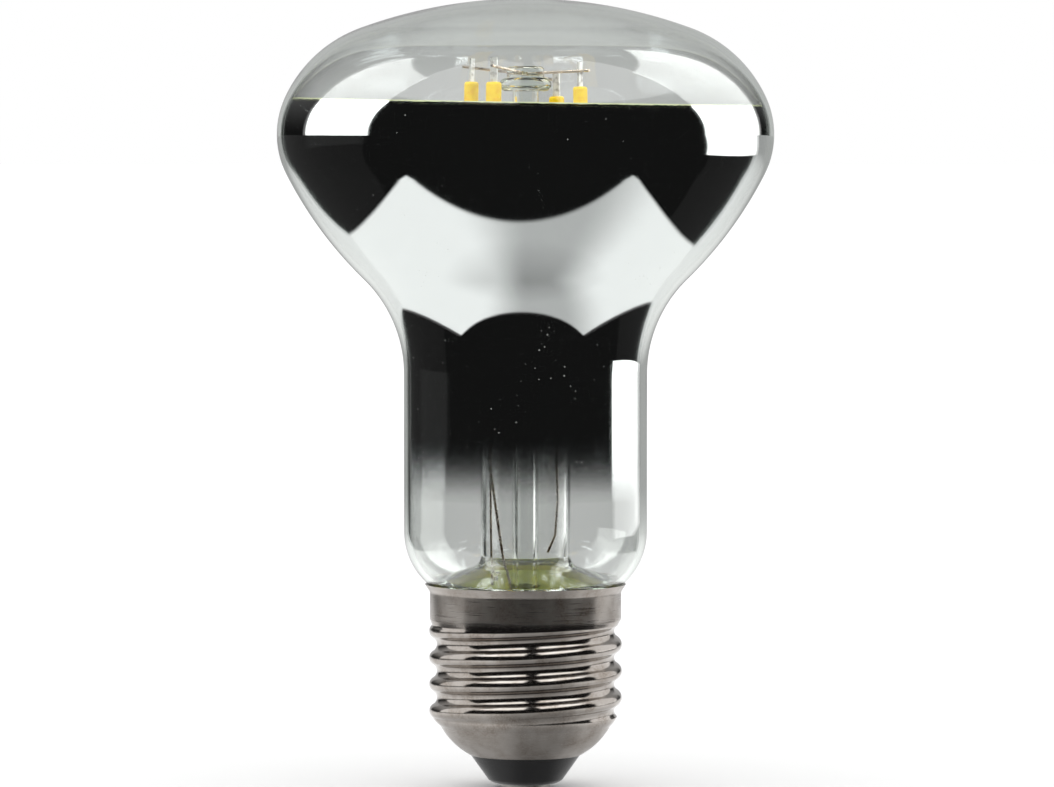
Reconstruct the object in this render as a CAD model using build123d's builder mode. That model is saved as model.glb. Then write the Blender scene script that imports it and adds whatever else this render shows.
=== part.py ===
"""Reflector bulb: a mirrored LED filament lamp with a rolled screw cap, in millimetres.

+Z runs up the lamp's axis with the head on top. The origin is the middle of the lower face of the
centre contact, and the front of the lamp faces -Y.
"""

import math
import os

from build123d import *

# Screw cap: a rolled nickel-plated shell, a black glass insulator and a contact
contact_height = 0.5
contact_radius = 3.4
contact_face_radius = 2.4
rivet_radius = 1.1
rivet_clearance = 0.05
insulator_height = 3.9
insulator_foot_radius = 5.1
insulator_plate = 1.6
insulator_seat_height = 0.7
insulator_edge_width = 1.5
insulator_edge_height = 0.6
eye_radius = 7.45
shell_wall = 0.3
bowl_height = 4.0
bowl_radius = 9.6
bowl_reach = 4.65
bowl_rise = 5.2
thread_major_radius = 13.1
thread_depth = 1.04
thread_pitch = 3.629
thread_turns = 3.46
thread_start_angle = 99.0
thread_sections = 8
low_run_out = 1.2
high_run_out = 0.8
skirt_radius = 13.0
skirt_height = 3.73
lip_height = 1.0
lip_bend = 0.8
lip_gap = 0.1

# Glass bulb, drawn upwards from the cap as a chain of tangent arcs
glass_wall = 0.8
seal_clearance = 0.35
seal_above_skirt = 0.3
neck_radius = 16.5
neck_base_radius = 9.5
neck_length = 21.4
neck_flare_radius = 18.0
cone_bow_radius = 54.0
head_radius = 33.7
shoulder_radius = 12.0
shoulder_angle_below = 27.0
shoulder_angle_above = 24.6
crown_radius = 18.0
dome_radius = 65.0

# Mirror film on the inner wall, from the neck up past the widest part of the head
film_thickness = 0.1
film_clearance = 0.05
film_above_widest = 4.3
film_above_neck_base = 4.7
film_edge_tilt = 0.9

# Glass stem: flange, flare tube, press, exhaust tube, post and button in one piece
stem_wall = 0.7
stem_tube_radius = 6.1
flange_height = 3.2
flange_rim_height = 1.1
flange_bend = 1.8
press_below_flare = 6.0
press_taper = 2.4
press_height = 7.0
press_width = 11.6
press_thickness = 4.6
press_corner = 2.0
exhaust_radius = 1.8
exhaust_bore = 1.1
exhaust_tail = 6.8
exhaust_point = 2.4
vent_radius = 0.7
post_radius = 1.75
button_above_widest = 6.5
button_radius = 3.5
button_cap_radius = 2.55
button_height = 3.0
button_bead = 1.4
button_edge = 0.5

# LED filaments with their metal end tabs
filament_first_angle = 150.0
filament_top_radius = 8.4
filament_lean = 1.6
front_left_drop = 0.2
front_right_drop = 0.8
rear_right_drop = 2.0
phosphor_width = 2.0
phosphor_thickness = 1.6
phosphor_corner = 0.6
phosphor_end = 0.4
phosphor_length = 31.2
tab_width = 1.0
tab_thickness = 0.3
tab_length = 3.4
tab_above_button = 1.3

# Wires, bent and welded
support_wire_diameter = 0.4
lead_wire_diameter = 0.35
weld_gap = 0.02
weld_length = 2.4
top_wire_overhang = 1.9
top_wire_drop = 1.2
top_wire_height = 1.95
weld_drop = 1.2
lead_spacing = 1.2
lead_inset = 0.5
lead_gather_drop = 5.6
board_lead_front = (-1.7, -3.6)
board_lead_rear = (-4.7, 0.9)
solder_tail = 0.8
anchor_inset = 1.0
anchor_tail_length = 18.3
anchor_kick = 1.4
anchor_kick_height = 2.4
anchor_sway = 0.35
anchor_sway_height = 7.2

# Driver board and what it carries, inside the cap
board_radius = 11.5
board_thickness = 1.0
board_above_skirt_base = 0.6
board_hole_clearance = 0.4
cement_rim = 0.6
capacitor_radius = 3.6
capacitor_height = 10.0
capacitor_groove = 0.35
capacitor_groove_at = 1.5
capacitor_at = (5.6, 2.4)
rectifier_size = (4.7, 3.9, 2.4)
rectifier_at = (-6.2, -3.4)
chip_size = (4.9, 3.9, 1.5)
chip_at = (1.0, -7.2)
chip_draft = 0.25
resistor_radius = 1.5
resistor_length = 7.0
resistor_drop = 3.0
resistor_at = (-4.4, 5.0)
resistor_waist = 0.2
resistor_lead_diameter = 0.6
lead_straight = 3.0
shell_wire_angle = 170.0
shell_wire_radius_at = 10.2

# Heights up the cap
insulator_foot_z = contact_height
eye_z = insulator_foot_z + insulator_height
bowl_top_z = eye_z + bowl_height
thread_low_z = bowl_top_z + low_run_out
thread_height = thread_turns * thread_pitch
thread_high_z = thread_low_z + thread_height
skirt_low_z = thread_high_z + high_run_out
skirt_high_z = skirt_low_z + skirt_height
lip_z = skirt_high_z + lip_height
seal_z = skirt_high_z + seal_above_skirt

# Centres of the glass outline's arcs, as radius and height
seal_radius = skirt_radius - shell_wall - seal_clearance
neck_base_reach = seal_radius - (neck_radius - neck_base_radius)
neck_base = Vector(
    neck_radius - neck_base_radius,
    seal_z + math.sqrt(neck_base_radius**2 - neck_base_reach**2),
)
neck_flare = Vector(neck_radius + neck_flare_radius, neck_base.Y + neck_length)
shoulder_x = head_radius - shoulder_radius
below = math.radians(shoulder_angle_below)
above = math.radians(shoulder_angle_above)
cone_bow_x = shoulder_x - (cone_bow_radius - shoulder_radius) * math.cos(below)
flare_to_bow = neck_flare_radius + cone_bow_radius
cone_bow = Vector(
    cone_bow_x,
    neck_flare.Y + math.sqrt(flare_to_bow**2 - (neck_flare.X - cone_bow_x) ** 2),
)
head_widest_z = cone_bow.Y - (cone_bow_radius - shoulder_radius) * math.sin(below)
shoulder = Vector(shoulder_x, head_widest_z)
crown_step = crown_radius - shoulder_radius
crown = shoulder - Vector(math.cos(above), math.sin(above)) * crown_step
dome = Vector(0, crown.Y - math.sqrt((dome_radius - crown_radius) ** 2 - crown.X**2))
overall_height = dome.Y + dome_radius


def arc_about(center, start, end):
    """Draw the shorter arc from start to end about a center."""
    bisector = (start - center) + (end - center)
    middle = center + bisector.normalized() * (start - center).length
    return ThreePointArc(start, middle, end)


def neck_base_point(inset, height):
    """Point of the glass outline, moved inwards by inset, on the arc that closes in on the cap."""
    reach = math.sqrt((neck_base_radius - inset) ** 2 - (height - neck_base.Y) ** 2)
    return Vector(neck_base.X + reach, height)


def draw_bulb_outline(inset, neck_z):
    """Draw the glass outline, moved inwards by inset, from the neck at neck_z up to the axis."""
    # A radius below zero marks the one hollow arc
    chain = [
        (neck_flare, -neck_flare_radius - inset),
        (cone_bow, cone_bow_radius - inset),
        (shoulder, shoulder_radius - inset),
        (crown, crown_radius - inset),
        (dome, dome_radius - inset),
    ]
    start = Vector(neck_radius - inset, neck_flare.Y)
    Line((neck_radius - inset, neck_z), start)
    for (center, radius), (next_center, next_radius) in zip(chain, chain[1:]):
        end = center + (next_center - center) * (radius / (radius - next_radius))
        arc_about(center, start, end)
        start = end
    top = dome + Vector(0, dome_radius - inset)
    arc_about(dome, start, top)
    return top


def bent_wire(points, diameter):
    """Sweep a round wire along straight runs that meet in sharp kinks."""
    with BuildPart() as wire:
        with BuildLine() as route:
            Polyline(*points)
        with BuildSketch(Plane(origin=route.line @ 0, z_dir=route.line % 0)):
            Circle(diameter / 2)
        sweep(transition=Transition.RIGHT)
    return wire


# Glass bulb: blown in one piece and closed in at the cap
with BuildPart() as glass_bulb:
    with BuildSketch(Plane.XZ):
        with BuildLine():
            for inset in (0, glass_wall):
                arc_about(
                    neck_base,
                    neck_base_point(inset, seal_z),
                    Vector(neck_radius - inset, neck_base.Y),
                )
                draw_bulb_outline(inset, neck_base.Y)
            Line(neck_base_point(0, seal_z), neck_base_point(glass_wall, seal_z))
            Line((0, overall_height), (0, overall_height - glass_wall))
        make_face()
    revolve(axis=Axis.Z)

# Mirror film: a skin on the inner wall that ends in a slightly slanting edge above the widest part
film_low_z = neck_base.Y + film_above_neck_base
film_edge = Plane((0, 0, head_widest_z + film_above_widest)).rotated((0, film_edge_tilt, 0))
film_outer = glass_wall + film_clearance
film_inner = film_outer + film_thickness
with BuildPart() as reflector_film:
    with BuildSketch(Plane.XZ):
        with BuildLine():
            for inset in (film_outer, film_inner):
                draw_bulb_outline(inset, film_low_z)
            Line((neck_radius - film_outer, film_low_z), (neck_radius - film_inner, film_low_z))
            Line((0, overall_height - film_outer), (0, overall_height - film_inner))
        make_face()
    revolve(axis=Axis.Z)
    split(bisect_by=film_edge, keep=Keep.BOTTOM)

# Heights up the stem
flange_z = seal_z + flange_height
press_low_z = neck_flare.Y - press_below_flare
press_full_z = press_low_z + press_taper
press_high_z = press_full_z + press_height - press_taper
button_low_z = head_widest_z + button_above_widest
button_high_z = button_low_z + button_height
board_low_z = skirt_low_z + board_above_skirt_base
board_high_z = board_low_z + board_thickness
exhaust_tip_z = seal_z - exhaust_tail

# Four filaments stand at the corners of a square and lean out towards their lower ends. They are
# welded on at slightly different heights.
tab_high_z = button_high_z + tab_above_button
filament_planes = []
for quarter_turn, drop in (
    (0, 0),
    (90, front_left_drop),
    (180, front_right_drop),
    (270, rear_right_drop),
):
    turn = filament_first_angle + quarter_turn
    outward = Vector(1, 0, 0).rotate(Axis.Z, turn)
    across = Vector(0, 1, 0).rotate(Axis.Z, turn)
    upward = Vector(0, 0, 1).rotate(Axis((0, 0, 0), across), -filament_lean)
    tab_top = outward * filament_top_radius + Vector(0, 0, tab_high_z - drop)
    filament_planes.append(Plane(origin=tab_top, x_dir=across, z_dir=upward))

led_filaments = []
filament_tabs = []
for plane in filament_planes:
    with BuildPart() as filament:
        with BuildSketch(plane.offset(-tab_length)):
            RectangleRounded(phosphor_width, phosphor_thickness, phosphor_corner)
        extrude(amount=-phosphor_length)
        ends = filament.faces().sort_by(Axis(plane.origin, plane.z_dir))
        fillet(ends[0].edges() + ends[-1].edges(), phosphor_end)
    led_filaments.append(filament)
    with BuildPart() as tabs:
        for end in (0, tab_length + phosphor_length):
            with BuildSketch(plane.offset(-end)):
                Rectangle(tab_width, tab_thickness)
            extrude(amount=-tab_length)
    filament_tabs.append(tabs)

rear_left, front_left, front_right, rear_right = filament_planes


# Top wires: each one runs through the button and past the inner sides of two neighbouring tabs
top_wire_offset = tab_width / 2 + support_wire_diameter / 2 + weld_gap
top_wire_z = button_low_z + top_wire_height


def top_wire(first, second):
    """Wire from beyond one filament's top tab, through the button, to beyond the next one's."""
    reach = filament_top_radius + top_wire_overhang
    corner = (first.x_dir - second.x_dir) * top_wire_offset
    legs = (first.x_dir * top_wire_offset, second.x_dir * -top_wire_offset)
    tips = [
        Vector(plane.origin.X, plane.origin.Y).normalized() * reach
        + leg
        + Vector(0, 0, plane.origin.Z - top_wire_drop)
        for plane, leg in zip((first, second), legs)
    ]
    middle = corner + Vector(0, 0, top_wire_z)
    return bent_wire([tips[0], middle, tips[1]], support_wire_diameter)


top_wire_front = top_wire(front_left, front_right)
top_wire_rear = top_wire(rear_right, rear_left)


def low_tab_weld(plane, diameter):
    """Upper and lower end of a wire's run along the inner face of a filament's lower tab."""
    inner_face = tab_thickness / 2 + diameter / 2 + weld_gap
    tip = 2 * tab_length + phosphor_length
    return [
        plane.from_local_coords((0, inner_face, -height))
        for height in (tip - weld_length, tip + weld_drop)
    ]


# Lead wires: up from the board, through the press and out to the two filaments on the left
stem_bore_radius = stem_tube_radius - stem_wall
gather_x = stem_bore_radius - lead_inset
press_lead_x = press_width / 2 - press_corner
lead_wires = []
for plane, side, board_at in (
    (front_left, -1, board_lead_front),
    (rear_left, 1, board_lead_rear),
):
    press_y = side * lead_spacing / 2
    weld_high, weld_low = low_tab_weld(plane, lead_wire_diameter)
    lead_wires.append(
        bent_wire(
            [
                (*board_at, board_low_z - solder_tail),
                (-gather_x, press_y, press_low_z - lead_gather_drop),
                (-press_lead_x, press_y, press_high_z + weld_drop),
                weld_low,
                weld_high,
            ],
            lead_wire_diameter,
        )
    )
lead_wire_front, lead_wire_rear = lead_wires

# Bridge wire between the lower tabs of the two filaments on the right
front_weld_high, front_weld_low = low_tab_weld(front_right, support_wire_diameter)
rear_weld_high, rear_weld_low = low_tab_weld(rear_right, support_wire_diameter)
bridge_wire = bent_wire(
    [front_weld_high, front_weld_low, rear_weld_low, rear_weld_high],
    support_wire_diameter,
)

# Anchor wire: holds the bridge wire from below, passes through the press and ends in a cut tail
bridge_middle = (front_weld_low + rear_weld_low) / 2
anchor_top = bridge_middle - Vector(
    0, 0, (support_wire_diameter + lead_wire_diameter) / 2 + weld_gap
)
anchor_x = stem_bore_radius - anchor_inset
anchor_low_z = press_low_z - anchor_tail_length
anchor_wire = bent_wire(
    [
        (anchor_x - anchor_kick, 0, anchor_low_z),
        (anchor_x - anchor_sway, 0, anchor_low_z + anchor_kick_height),
        (anchor_x, 0, anchor_low_z + anchor_sway_height),
        (press_lead_x, 0, press_high_z + weld_drop),
        anchor_top,
    ],
    lead_wire_diameter,
)

stem_wires = (
    top_wire_front,
    top_wire_rear,
    lead_wire_front,
    lead_wire_rear,
    anchor_wire,
)

# Glass stem: flange sealed to the bulb, flare tube, flat press, exhaust tube, post and button
with BuildPart() as glass_stem:
    with BuildSketch(Plane.XZ):
        with BuildLine():
            rim = neck_base_point(glass_wall, seal_z + flange_rim_height)
            seal = neck_base_point(glass_wall, seal_z)
            FilletPolyline(
                (stem_tube_radius, press_low_z),
                (stem_tube_radius, flange_z),
                rim,
                radius=flange_bend,
            )
            arc_about(neck_base, rim, seal)
            FilletPolyline(
                seal,
                (stem_bore_radius, flange_z - stem_wall),
                (stem_bore_radius, press_low_z),
                radius=flange_bend + stem_wall,
            )
            Line((stem_bore_radius, press_low_z), (stem_tube_radius, press_low_z))
        make_face()
    revolve(axis=Axis.Z)
    with BuildSketch(Plane.XY.offset(press_low_z)):
        Circle(stem_tube_radius)
    for press_z in (press_full_z, press_high_z):
        with BuildSketch(Plane.XY.offset(press_z)):
            RectangleRounded(press_width, press_thickness, press_corner)
    loft(ruled=True)
    with BuildSketch(Plane.XZ):
        with BuildLine():
            Polyline(
                (0, press_full_z),
                (exhaust_radius, press_full_z),
                (exhaust_radius, exhaust_tip_z + exhaust_point),
                (0, exhaust_tip_z),
                close=True,
            )
        make_face()
    revolve(axis=Axis.Z)
    with Locations((0, 0, exhaust_tip_z + exhaust_point)):
        Cylinder(
            exhaust_bore,
            press_full_z - exhaust_tip_z - exhaust_point,
            align=(Align.CENTER, Align.CENTER, Align.MIN),
            mode=Mode.SUBTRACT,
        )
    with BuildSketch(Plane.XZ):
        with Locations((0, press_full_z - 2 * vent_radius)):
            Circle(vent_radius)
    extrude(amount=-press_width, mode=Mode.SUBTRACT)
    with BuildSketch(Plane.XZ):
        with BuildLine():
            Polyline(
                (0, button_high_z),
                (0, press_full_z),
                (post_radius, press_full_z),
                (post_radius, button_low_z),
            )
            ThreePointArc(
                (post_radius, button_low_z),
                (button_radius, button_low_z + button_bead / 2),
                (button_cap_radius, button_low_z + button_bead),
            )
            FilletPolyline(
                (button_cap_radius, button_low_z + button_bead),
                (button_cap_radius, button_high_z),
                (0, button_high_z),
                radius=button_edge,
            )
        make_face()
    revolve(axis=Axis.Z)
    for wire in stem_wires:
        add(wire.part, mode=Mode.SUBTRACT)

# Screw shell: circles set off the axis, going round it once in each pitch, make the rolled thread
thread_mean_radius = thread_major_radius - thread_depth / 2
thread_steps = math.ceil(thread_turns * thread_sections)
skirt_bore_radius = skirt_radius - shell_wall
lip_radius = neck_base_point(0, lip_z).X + lip_gap + shell_wall
bowl_foot = Vector(eye_radius, eye_z)
bowl_chord = Vector(bowl_reach, bowl_rise)
bowl_sink = math.sqrt(bowl_radius**2 - bowl_chord.length**2 / 4)
bowl = bowl_foot + bowl_chord / 2 - Vector(bowl_rise, -bowl_reach).normalized() * bowl_sink
bowl_eye = bowl + (bowl_foot - bowl) * (1 - shell_wall / bowl_radius)


def bowl_point(inset, height):
    """Point at this height on the bowl's outline, moved inwards by inset."""
    return Vector(bowl.X + math.sqrt((bowl_radius - inset) ** 2 - (height - bowl.Y) ** 2), height)


def thread_center(turns):
    """Middle of the thread's circle, this many turns up from its lower end."""
    angle = math.radians(thread_start_angle + 360 * turns)
    return Vector(math.cos(angle), math.sin(angle)) * (thread_depth / 2)


with BuildPart() as screw_shell:
    for inset, mode in ((0, Mode.ADD), (shell_wall, Mode.SUBTRACT)):
        for step in range(thread_steps + 1):
            turns = thread_turns * step / thread_steps
            with BuildSketch(Plane.XY.offset(thread_low_z + turns * thread_pitch)):
                with Locations(thread_center(turns)):
                    Circle(thread_mean_radius - inset)
        loft(mode=mode)
    # Run-outs from the thread to the round bowl below and the round skirt above
    for round_z, round_radii, thread_z, center in (
        (
            bowl_top_z,
            [bowl_point(inset, bowl_top_z).X for inset in (0, shell_wall)],
            thread_low_z,
            thread_center(0),
        ),
        (skirt_low_z, (skirt_radius, skirt_bore_radius), thread_high_z, thread_center(thread_turns)),
    ):
        for round_radius, inset, mode in zip(
            round_radii, (0, shell_wall), (Mode.ADD, Mode.SUBTRACT)
        ):
            with BuildSketch(Plane.XY.offset(round_z)):
                Circle(round_radius)
            with BuildSketch(Plane.XY.offset(thread_z)):
                with Locations(center):
                    Circle(thread_mean_radius - inset)
            loft(mode=mode)
    # Skirt and flared lip
    with BuildSketch(Plane.XZ):
        with BuildLine():
            for inset in (0, shell_wall):
                FilletPolyline(
                    (skirt_radius - inset, skirt_low_z),
                    (skirt_radius - inset, skirt_high_z),
                    (lip_radius - inset, lip_z),
                    radius=lip_bend + inset,
                )
            Line((lip_radius, lip_z), (lip_radius - shell_wall, lip_z))
            Line((skirt_radius, skirt_low_z), (skirt_bore_radius, skirt_low_z))
        make_face()
    revolve(axis=Axis.Z)
    # Bowl that holds the insulator's plate
    with BuildSketch(Plane.XZ):
        with BuildLine():
            arc_about(bowl, bowl_foot, bowl_point(0, bowl_top_z))
            arc_about(bowl, bowl_eye, bowl_point(shell_wall, bowl_top_z))
            Line(bowl_foot, bowl_eye)
            Line(bowl_point(0, bowl_top_z), bowl_point(shell_wall, bowl_top_z))
        make_face()
    revolve(axis=Axis.Z)

# Insulator: black glass cast through the eye of the shell, with a plate inside that holds it
insulator_top_z = eye_z + shell_wall + insulator_plate
insulator_flat_radius = insulator_foot_radius - insulator_edge_width
insulator_edge_top = Vector(insulator_foot_radius, insulator_foot_z + insulator_edge_height)
edge_round = (insulator_edge_width**2 + insulator_edge_height**2) / (2 * insulator_edge_height)
plate_edge = bowl_point(shell_wall, bowl_eye.Y + insulator_seat_height)
with BuildPart() as insulator:
    with BuildSketch(Plane.XZ):
        with BuildLine():
            arc_about(
                Vector(insulator_flat_radius, insulator_foot_z + edge_round),
                Vector(insulator_flat_radius, insulator_foot_z),
                insulator_edge_top,
            )
            Polyline(insulator_edge_top, bowl_foot, bowl_eye)
            arc_about(bowl, bowl_eye, plate_edge)
            Polyline(
                plate_edge,
                (plate_edge.X, insulator_top_z),
                (rivet_radius, insulator_top_z),
                (rivet_radius, insulator_foot_z),
                (insulator_flat_radius, insulator_foot_z),
            )
        make_face()
    revolve(axis=Axis.Z)

# Centre contact: a pressed disc with a hollow rivet that takes the lead
rivet_bore_radius = resistor_lead_diameter / 2 + rivet_clearance
with BuildPart() as centre_contact:
    with BuildSketch(Plane.XZ):
        with BuildLine():
            Polyline(
                (0, 0),
                (contact_face_radius, 0),
                (contact_radius, contact_height / 2),
                (contact_radius, contact_height),
                (rivet_radius, contact_height),
                (rivet_radius, insulator_top_z),
                (rivet_bore_radius, insulator_top_z),
                (rivet_bore_radius, contact_height),
                (0, contact_height),
                close=True,
            )
        make_face()
    revolve(axis=Axis.Z)

# Capping cement: a ring that holds the glass in the skirt and grips the rim of the board
cement_top_z = neck_base.Y - math.sqrt(
    neck_base_radius**2 - (skirt_bore_radius - neck_base.X) ** 2
)
with BuildPart() as capping_cement:
    with BuildSketch(Plane.XZ):
        with BuildLine():
            arc_about(
                neck_base,
                Vector(skirt_bore_radius, cement_top_z),
                neck_base_point(0, seal_z),
            )
            Polyline(
                neck_base_point(0, seal_z),
                (board_radius - cement_rim, seal_z),
                (board_radius - cement_rim, board_high_z),
                (board_radius, board_high_z),
                (board_radius, board_low_z),
                (skirt_bore_radius, board_low_z),
                (skirt_bore_radius, cement_top_z),
            )
        make_face()
    revolve(axis=Axis.Z)

# Smoothing capacitor: a can with a rolled groove, hanging under the board
with BuildPart() as smoothing_capacitor:
    with BuildSketch(Plane((*capacitor_at, board_low_z), x_dir=(1, 0, 0), z_dir=(0, -1, 0))):
        with BuildLine():
            Polyline(
                (0, 0),
                (capacitor_radius, 0),
                (capacitor_radius, capacitor_groove - capacitor_groove_at),
                (capacitor_radius - capacitor_groove, -capacitor_groove_at),
                (capacitor_radius, -capacitor_groove - capacitor_groove_at),
                (capacitor_radius, -capacitor_height),
                (0, -capacitor_height),
                close=True,
            )
        make_face()
    revolve(axis=Axis((*capacitor_at, 0), (0, 0, 1)))

# Bridge rectifier and driver chip: moulded bodies with drafted sides
moulded_bodies = []
for (length, width, height), place in (
    (rectifier_size, rectifier_at),
    (chip_size, chip_at),
):
    with BuildPart() as moulded_body:
        with BuildSketch(Plane.XY.offset(board_low_z)):
            with Locations(place):
                Rectangle(length, width)
        with BuildSketch(Plane.XY.offset(board_low_z - height)):
            with Locations(place):
                Rectangle(length - chip_draft, width - chip_draft)
        loft()
    moulded_bodies.append(moulded_body)
bridge_rectifier, driver_chip = moulded_bodies

# Fuse resistor: a waisted body on two leads, one to the board and one to the centre contact
resistor_high_z = board_low_z - resistor_drop
resistor_low_z = resistor_high_z - resistor_length
with BuildPart() as fuse_resistor:
    with BuildSketch(
        Plane((*resistor_at, resistor_low_z), x_dir=(1, 0, 0), z_dir=(0, -1, 0))
    ):
        with BuildLine():
            Polyline(
                (resistor_radius, 0),
                (0, 0),
                (0, resistor_length),
                (resistor_radius, resistor_length),
            )
            ThreePointArc(
                (resistor_radius, resistor_length),
                (resistor_radius - resistor_waist, resistor_length / 2),
                (resistor_radius, 0),
            )
        make_face()
    revolve(axis=Axis((*resistor_at, 0), (0, 0, 1)))
contact_lead = bent_wire(
    [
        (*resistor_at, resistor_low_z),
        (*resistor_at, resistor_low_z - lead_straight),
        (0, 0, insulator_top_z + lead_straight),
        (0, 0, contact_height),
    ],
    resistor_lead_diameter,
)
with BuildPart() as resistor_lead:
    with BuildSketch(Plane.XY.offset(resistor_high_z)):
        with Locations(resistor_at):
            Circle(resistor_lead_diameter / 2)
    extrude(amount=board_high_z + solder_tail - resistor_high_z)

# Shell wire: from the rim of the board, under the cement, to the skirt
shell_wire_z = board_low_z - lead_wire_diameter / 2 - weld_gap
shell_wire_out = Vector(1, 0, 0).rotate(Axis.Z, shell_wire_angle)
shell_wire_top = Vector(0, 0, board_high_z + solder_tail)
shell_wire_low = Vector(0, 0, shell_wire_z)
shell_wire = bent_wire(
    [
        shell_wire_out * shell_wire_radius_at + shell_wire_top,
        shell_wire_out * shell_wire_radius_at + shell_wire_low,
        shell_wire_out * (skirt_bore_radius - weld_gap) + shell_wire_low,
    ],
    lead_wire_diameter,
)

# Driver board: a round printed board under the flange, soldered round the wires that pass through it
with BuildPart() as driver_board:
    with BuildSketch(Plane.XY.offset(board_low_z)):
        Circle(board_radius)
        Circle(exhaust_radius + board_hole_clearance, mode=Mode.SUBTRACT)
    extrude(amount=board_thickness)
    for wire in (lead_wire_front, lead_wire_rear, resistor_lead, shell_wire):
        add(wire.part, mode=Mode.SUBTRACT)

nodes = {
    "screw_shell": screw_shell,
    "insulator": insulator,
    "centre_contact": centre_contact,
    "capping_cement": capping_cement,
    "driver_board": driver_board,
    "smoothing_capacitor": smoothing_capacitor,
    "bridge_rectifier": bridge_rectifier,
    "driver_chip": driver_chip,
    "fuse_resistor": fuse_resistor,
    "resistor_lead": resistor_lead,
    "contact_lead": contact_lead,
    "shell_wire": shell_wire,
    "glass_bulb": glass_bulb,
    "reflector_film": reflector_film,
    "glass_stem": glass_stem,
    "top_wire_front": top_wire_front,
    "top_wire_rear": top_wire_rear,
    "lead_wire_front": lead_wire_front,
    "lead_wire_rear": lead_wire_rear,
    "bridge_wire": bridge_wire,
    "anchor_wire": anchor_wire,
}
for index, (filament, tabs) in enumerate(zip(led_filaments, filament_tabs), start=1):
    nodes[f"led_filament_{index}"] = filament
    nodes[f"filament_tabs_{index}"] = tabs

os.makedirs("parts", exist_ok=True)
for name, node in nodes.items():
    node.part.label = name
    export_step(node.part, f"parts/{name}.step")
print(f"overall height {overall_height:.2f}, widest at {head_widest_z:.2f}, seal at {seal_z:.2f}")
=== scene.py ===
"""Reflector bulb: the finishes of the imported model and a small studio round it, laid out as an add-on."""

import math

import bmesh
import bpy
from bpy.props import FloatProperty, FloatVectorProperty, PointerProperty
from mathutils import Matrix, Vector


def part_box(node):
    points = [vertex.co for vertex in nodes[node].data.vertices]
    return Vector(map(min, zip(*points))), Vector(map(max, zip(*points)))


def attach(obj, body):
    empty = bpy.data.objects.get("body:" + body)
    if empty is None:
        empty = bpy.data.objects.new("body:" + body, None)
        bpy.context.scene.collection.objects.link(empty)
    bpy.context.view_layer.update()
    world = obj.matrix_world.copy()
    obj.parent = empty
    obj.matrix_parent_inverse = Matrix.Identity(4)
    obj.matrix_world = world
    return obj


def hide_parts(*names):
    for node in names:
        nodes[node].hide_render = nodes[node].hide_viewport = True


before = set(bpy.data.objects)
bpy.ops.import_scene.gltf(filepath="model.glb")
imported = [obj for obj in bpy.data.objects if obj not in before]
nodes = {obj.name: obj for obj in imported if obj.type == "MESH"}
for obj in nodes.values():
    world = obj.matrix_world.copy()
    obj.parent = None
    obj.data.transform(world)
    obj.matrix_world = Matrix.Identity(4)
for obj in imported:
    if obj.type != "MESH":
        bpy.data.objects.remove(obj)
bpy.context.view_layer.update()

bl_info = {
    "name": "Reflector bulb",
    "version": (1, 0, 0),
    "blender": (4, 5, 0),
    "location": "3D View > Sidebar > Reflector bulb",
    "description": "Finishes for a mirrored LED filament lamp and a pale studio to show it in",
    "category": "Object",
}

MM = 0.001
TURN_STEPS = 192
NECK_STEPS = 12
OUTLINE_STEP = 0.8 * MM
FILM_STEPS = 160
SHELL_STEP = 0.12 * MM
LIP_STEPS = 8
SHARP_EDGE = math.radians(40)
# Corners nearer than this are one corner
MERGE_GAP = 1e-7
# Half the width of a lamp's soft edge
EDGE_TURN = math.radians(1)
FILAMENTS = 4

glass_low, glass_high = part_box("glass_bulb")
film_low, film_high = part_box("reflector_film")
shell_low, shell_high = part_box("screw_shell")


def linear(hex_colour):
    """Linear red, green and blue of an sRGB hex colour."""
    channels = [int(hex_colour[i : i + 2], 16) / 255 for i in (1, 3, 5)]
    return [c / 12.92 if c <= 0.04045 else ((c + 0.055) / 1.055) ** 2.4 for c in channels]


def colour(name, description, hex_colour):
    """Colour property with an sRGB hex default."""
    return FloatVectorProperty(
        name=name,
        description=description,
        subtype="COLOR",
        size=3,
        min=0,
        max=1,
        default=linear(hex_colour),
    )


def length(name, description, millimetres):
    """Length property with a default in millimetres."""
    return FloatProperty(
        name=name,
        description=description,
        unit="LENGTH",
        min=0,
        precision=5,
        default=millimetres * MM,
    )


def angle(name, description, degrees):
    """Angle property with a default in degrees."""
    return FloatProperty(
        name=name, description=description, subtype="ANGLE", default=math.radians(degrees)
    )


def number(name, description, value):
    """Property that is a brightness, a share or a slope."""
    return FloatProperty(name=name, description=description, min=0, default=value)


class BulbSizes(bpy.types.PropertyGroup):
    """Sizes of the blown glass, drawn upwards as a chain of tangent arcs, and of the film inside it."""

    wall: length("Wall", "Thickness of the glass", 0.8)
    seal_radius: length("Seal radius", "Glass radius where it closes on the cap", 12.35)
    neck_radius: length("Neck radius", "Radius of the straight neck", 16.5)
    neck_base_radius: length("Neck base", "Bend from the seal to the neck", 9.5)
    neck_length: length("Neck length", "Height of the straight neck", 21.4)
    flare_radius: length("Flare", "Hollow bend from the neck to the cone", 18)
    cone_radius: length("Cone bow", "Bow of the cone", 54)
    shoulder_radius: length("Shoulder", "Bend round the widest part", 12)
    shoulder_below: angle("Shoulder below", "How far the shoulder turns below the widest part", 27)
    shoulder_above: angle("Shoulder above", "How far the shoulder turns above the widest part", 24.6)
    crown_radius: length("Crown", "Bend from the shoulder to the dome", 18)
    dome_radius: length("Dome", "Bow of the front", 65)
    film_clearance: length("Film clearance", "Gap between glass and film", 0.05)
    film_thickness: length("Film thickness", "Thickness of the film", 0.1)
    film_edge_tilt: angle("Film edge tilt", "Slant of the film's upper edge", 0.9)


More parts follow.
